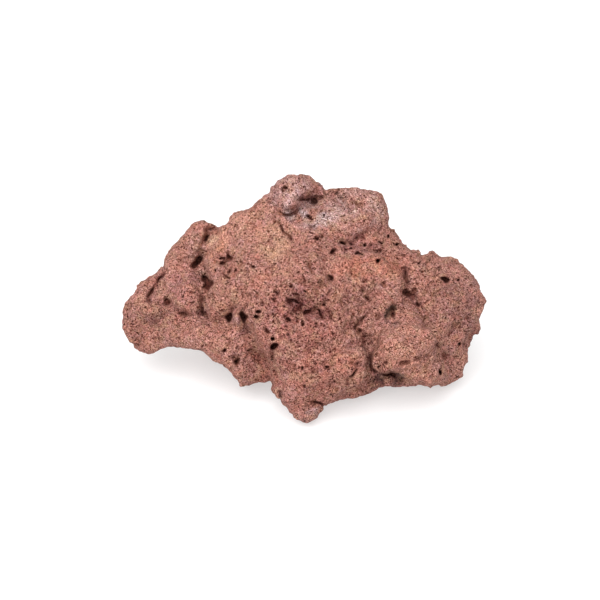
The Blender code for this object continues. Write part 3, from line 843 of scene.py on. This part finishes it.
def colour_points(piece, field, uncut, face):
    """Stores each point's tint, how deep it is cut, which sets the painted shade in cuts and pores,
    and how many pores are painted there.
    """
    points = points_of(piece.data)
    i, j, k = field.index_of(points)
    near = nearness(points[:, 1] - face.front[i, k])
    base = np.array(BASE_TINT)
    tint = base + near[:, None] * (face.tints()[i, k] - base)
    pored = 1 + near * (face.against_usual("pores")[i, k] - 1)
    store(piece.data, "tint", "FLOAT_COLOR", "color", np.column_stack((tint, np.ones(len(tint)))))
    store(piece.data, "height", "FLOAT", "value", uncut[i, j, k])
    store(piece.data, "pored", "FLOAT", "value", pored)


def store(mesh, name, kind, member, values):
    attribute = mesh.attributes.new(name, kind, "POINT")
    attribute.data.foreach_set(member, values.astype(np.float32).ravel())


def set_down(piece):
    """Moves the piece to the row frame, with nothing below the ground."""
    mesh = piece.data
    mesh.transform(face_to_row())
    points = points_of(mesh)
    points[:, 2] = np.maximum(points[:, 2], 0)
    mesh.vertices.foreach_set("co", points.ravel())
    mesh.polygons.foreach_set("use_smooth", np.ones(len(mesh.polygons), bool))
    mesh.update()


class Nodes:
    """A short way to add and join shader nodes."""

    def __init__(self, name):
        self.material = bpy.data.materials.new(name)
        self.material.use_nodes = True
        self.tree = self.material.node_tree
        self.shader = self.tree.nodes["Principled BSDF"]

    def add(self, kind, inputs=(), **settings):
        node = self.tree.nodes.new(kind)
        for name, value in settings.items():
            setattr(node, name, value)
        for socket, value in dict(inputs).items():
            self.join(node.inputs[socket], value)
        return node

    def join(self, socket, value):
        if isinstance(value, bpy.types.NodeSocket):
            self.tree.links.new(value, socket)
        else:
            socket.default_value = value

    def attribute(self, name, output):
        return self.add("ShaderNodeAttribute", attribute_name=name).outputs[output]

    def maths(self, operation, *values):
        return self.add("ShaderNodeMath", dict(enumerate(values)), operation=operation).outputs[0]

    def product(self, first, *others):
        for value in others:
            first = self.maths("MULTIPLY", first, value)
        return first

    def weighted(self, *parts):
        """The sum of values times their weights."""
        total, *others = [self.maths("MULTIPLY", value, weight) for value, weight in parts]
        for value in others:
            total = self.maths("ADD", total, value)
        return total

    def vector(self, operation, first, second=None, scale=None):
        inputs = {0: first}
        if second is not None:
            inputs[1] = second
        if scale is not None:
            inputs[3] = scale
        return self.add("ShaderNodeVectorMath", inputs, operation=operation).outputs[0]

    def noise(self, place, size, detail, rough, seed):
        """Noise whose features are about that many millimetres apart."""
        moved = self.vector("ADD", place, (seed, seed * 1.7, -seed))
        inputs = {"Vector": moved, "Scale": 1 / size, "Detail": detail, "Roughness": rough}
        return self.add("ShaderNodeTexNoise", inputs).outputs[0]

    def wandered(self, place, size):
        """The place, moved by noise as large as its features."""
        inputs = {"Vector": place, "Scale": 1 / size, "Detail": 2.0}
        wander = self.add("ShaderNodeTexNoise", inputs).outputs[1]
        wander = self.vector("SUBTRACT", wander, (0.5, 0.5, 0.5))
        return self.vector("ADD", place, self.vector("SCALE", wander, scale=size))

    def cells(self, place, size):
        """Cells about that many millimetres across: how far from the middle, and three chances."""
        inputs = {"Vector": place, "Scale": 1 / size, "Randomness": 1.0}
        cells = self.add("ShaderNodeTexVoronoi", inputs)
        chances = self.add("ShaderNodeSeparateColor", {0: cells.outputs["Color"]}).outputs[:]
        return cells.outputs["Distance"], chances

    def pores(self, place, apart, widest, share):
        """Round spots of chance sizes in that share of the cells, the widest that part of a cell."""
        away, chances = self.cells(place, apart)
        from_here = self.maths("SUBTRACT", 1.0, share)
        size = self.ramp(chances[0], from_here, 1.02, 0.06, widest, False)
        size = self.maths("MULTIPLY", size, self.maths("GREATER_THAN", size, 0.07))
        return self.ramp(self.maths("SUBTRACT", size, away), -0.05, 0.05)

    def skewed(self, chance, power, usual, extreme):
        """Mostly near the usual value, now and then up or down to the extreme one."""
        return self.ramp(self.maths("POWER", chance, power), 0, 0.85, usual, extreme, False)

    def ramp(self, value, low, high, out_low=0.0, out_high=1.0, smooth=True):
        inputs = {0: value, 1: low, 2: high, 3: out_low, 4: out_high}
        kind = "SMOOTHSTEP" if smooth else "LINEAR"
        return self.add("ShaderNodeMapRange", inputs, interpolation_type=kind).outputs[0]

    def mix(self, share, first, second, blend="MIX"):
        inputs = {0: share, 6: first, 7: second}
        node = self.add("ShaderNodeMix", inputs, data_type="RGBA", blend_type=blend)
        return node.outputs[2]

    def tinted(self, colour, other):
        return self.mix(1.0, colour, other, "MULTIPLY")

    def shade(self, light, powers):
        """A grey light whose green and blue are raised to powers."""
        green, blue = [self.maths("POWER", light, power) for power in powers]
        return self.add("ShaderNodeCombineColor", {0: light, 1: green, 2: blue}).outputs[0]


def stained(nodes, place, crumb_chances):
    """The colour of the clean stone: its tint, which holds a few patches of painted shade, stains
    over it, and crumbs of chance hues.
    """
    colour = nodes.attribute("tint", "Color")
    for stain, size, detail, seed, (start, full), strength in STAINS:
        share = nodes.ramp(nodes.noise(place, size, detail, STAIN_ROUGHNESS, seed), start, full)
        colour = nodes.mix(nodes.maths("MULTIPLY", share, strength), colour, (*stain, 1))
    for chance, (low, high) in zip(crumb_chances, CRUMB_HUES):
        colour = nodes.tinted(colour, nodes.mix(chance, (*low, 1), (*high, 1)))
    return colour


def painted_pores(nodes, place, ragged):
    """One in small pores, which gather here and there and are painted dark, as the shade inside them
    and their darker walls.
    """
    share = nodes.ramp(nodes.noise(place, 5.0, 2.0, 0.5, 17.0), 0.36, 0.62, 0.08, 0.46)
    share = nodes.maths("MULTIPLY", share, nodes.attribute("pored", "Fac"))
    layers = [
        nodes.pores(nodes.vector("ADD", ragged, moved), apart, widest, share)
        for apart, widest, moved in PAINTED_PORES
    ]
    return nodes.maths("MAXIMUM", *layers)


def scoria():
    """Dusty terracotta stone: patches of tint, fine specks with painted glints among them, many small
    pores painted dark and painted shade in hollows.
    """
    nodes = Nodes("scoria")
    coordinates = nodes.add("ShaderNodeTexCoord").outputs["Object"]
    place = nodes.vector("SCALE", coordinates, scale=1 / MM)
    ragged = nodes.wandered(place, CRUMB_WANDER)
    crumb_away, (crumb_tone, *crumb_chances) = nodes.cells(ragged, CRUMB_SIZE)
    _, (fleck_tone, glint, _) = nodes.cells(ragged, FLECK_SIZE)
    _, (dust_tone, *_) = nodes.cells(place, DUST_SIZE)
    soft = nodes.noise(place, 2.4, 4.0, 0.7, 3.0)
    pore = painted_pores(nodes, place, ragged)
    height = nodes.attribute("height", "Fac")

    light = nodes.product(
        nodes.skewed(crumb_tone, 2.0, 1.01, 0.97),
        # darker at the crumbs' rims: painted shade in the crevices between them
        nodes.ramp(crumb_away, 0.5, 0.8, 1.0, 0.97, False),
        nodes.ramp(soft, 0.3, 0.7, 0.975, 1.025, False),
        # small pores darkened: painted shade inside them, with their darker walls
        nodes.ramp(pore, 0, 1, 1.0, 0.33),
        # darker deep below the uncut surface: painted shade in cuts and pores, with their darker
        # walls
        nodes.ramp(height, -2.6, -0.7, 0.42, 1.0, False),
        # a little darker just below the uncut surface, a little lighter above it
        nodes.ramp(height, -0.3, 0.5, 0.96, 1.05, False),
    )
    grain_and_glints = nodes.product(
        nodes.skewed(fleck_tone, 3.0, 1.22, 0.14),
        # bright specks: painted glints, with some pale grains
        nodes.skewed(glint, 4.0, 0.98, 1.32),
        nodes.ramp(dust_tone, 0, 1, 0.50, 1.50, False),
    )
    colour = stained(nodes, place, crumb_chances)
    colour = nodes.tinted(colour, nodes.shade(light, SHADE_POWERS))
    colour = nodes.tinted(colour, nodes.shade(grain_and_glints, GRAIN_AND_GLINT_POWERS))
    colour = nodes.tinted(colour, (*LIFT, 1))
    nodes.join(nodes.shader.inputs["Base Color"], colour)
    nodes.shader.inputs["Roughness"].default_value = 0.95
    nodes.shader.inputs["Specular IOR Level"].default_value = 0.15

    rise = nodes.weighted((crumb_away, -0.1), (soft, 0.3), (fleck_tone, -0.18), (pore, -0.3))
    bump = nodes.add("ShaderNodeBump", {"Strength": 1.0, "Distance": MM, "Height": rise})
    nodes.join(nodes.shader.inputs["Normal"], bump.outputs[0])
    return nodes.material


def add_camera():
    """The camera where the photograph was taken from."""
    lens = bpy.data.cameras.new("camera")
    lens.sensor_width = SENSOR_MM
    lens.lens = SENSOR_MM * VIEW_DISTANCE / (FRAME_PX * MM_PER_PX)
    lens.shift_x = (FRAME_PX / 2 - CENTRE_PX[0]) / FRAME_PX
    lens.shift_y = (CENTRE_PX[1] - FRAME_PX / 2) / FRAME_PX
    lens.clip_start = 0.01
    camera = bpy.data.objects.new("camera", lens)
    bpy.context.collection.objects.link(camera)
    camera.location = face_to_row() @ Vector((0, -VIEW_DISTANCE, 0))
    aim_at(camera, FACE_CENTRE)
    bpy.context.scene.camera = camera


def aim_at(thing, target):
    thing.rotation_euler = (target - thing.location).to_track_quat("-Z", "Y").to_euler()


def add_stage():
    """A pale floor, an even white world and one large soft lamp."""
    bpy.ops.mesh.primitive_plane_add(size=FLOOR_SIZE, location=(0, 0, 0))
    floor = bpy.context.object
    floor.name = "floor"
    paper = Nodes("paper")
    paper.shader.inputs["Base Color"].default_value = (FLOOR_GREY, FLOOR_GREY, FLOOR_GREY, 1)
    paper.shader.inputs["Emission Color"].default_value = WHITE
    paper.shader.inputs["Emission Strength"].default_value = FLOOR_GLOW
    paper.shader.inputs["Roughness"].default_value = 1.0
    paper.shader.inputs["Specular IOR Level"].default_value = 0.0
    floor.data.materials.append(paper.material)

    world = bpy.data.worlds.new("studio")
    world.use_nodes = True
    world.node_tree.nodes["Background"].inputs["Color"].default_value = WHITE
    world.node_tree.nodes["Background"].inputs["Strength"].default_value = WORLD_STRENGTH
    bpy.context.scene.world = world

    light = bpy.data.lights.new("top_light", "AREA")
    light.shape = "DISK"
    light.size = LAMP_SIZE
    light.energy = LAMP_ENERGY
    lamp = bpy.data.objects.new("top_light", light)
    bpy.context.collection.objects.link(lamp)
    lamp.location = LAMP_PLACE
    aim_at(lamp, Vector(LAMP_AIM))
    bpy.context.scene.view_settings.view_transform = "Standard"


def main():
    add_camera()
    add_stage()
    field, uncut, face = sculpted()
    piece = piece_from(*largest_part(*field.mesh()))
    simplify(piece, field, face)
    colour_points(piece, field, uncut, face)
    set_down(piece)
    piece.data.materials.append(scoria())
    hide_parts(NODE)
    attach(piece, "root")


main()
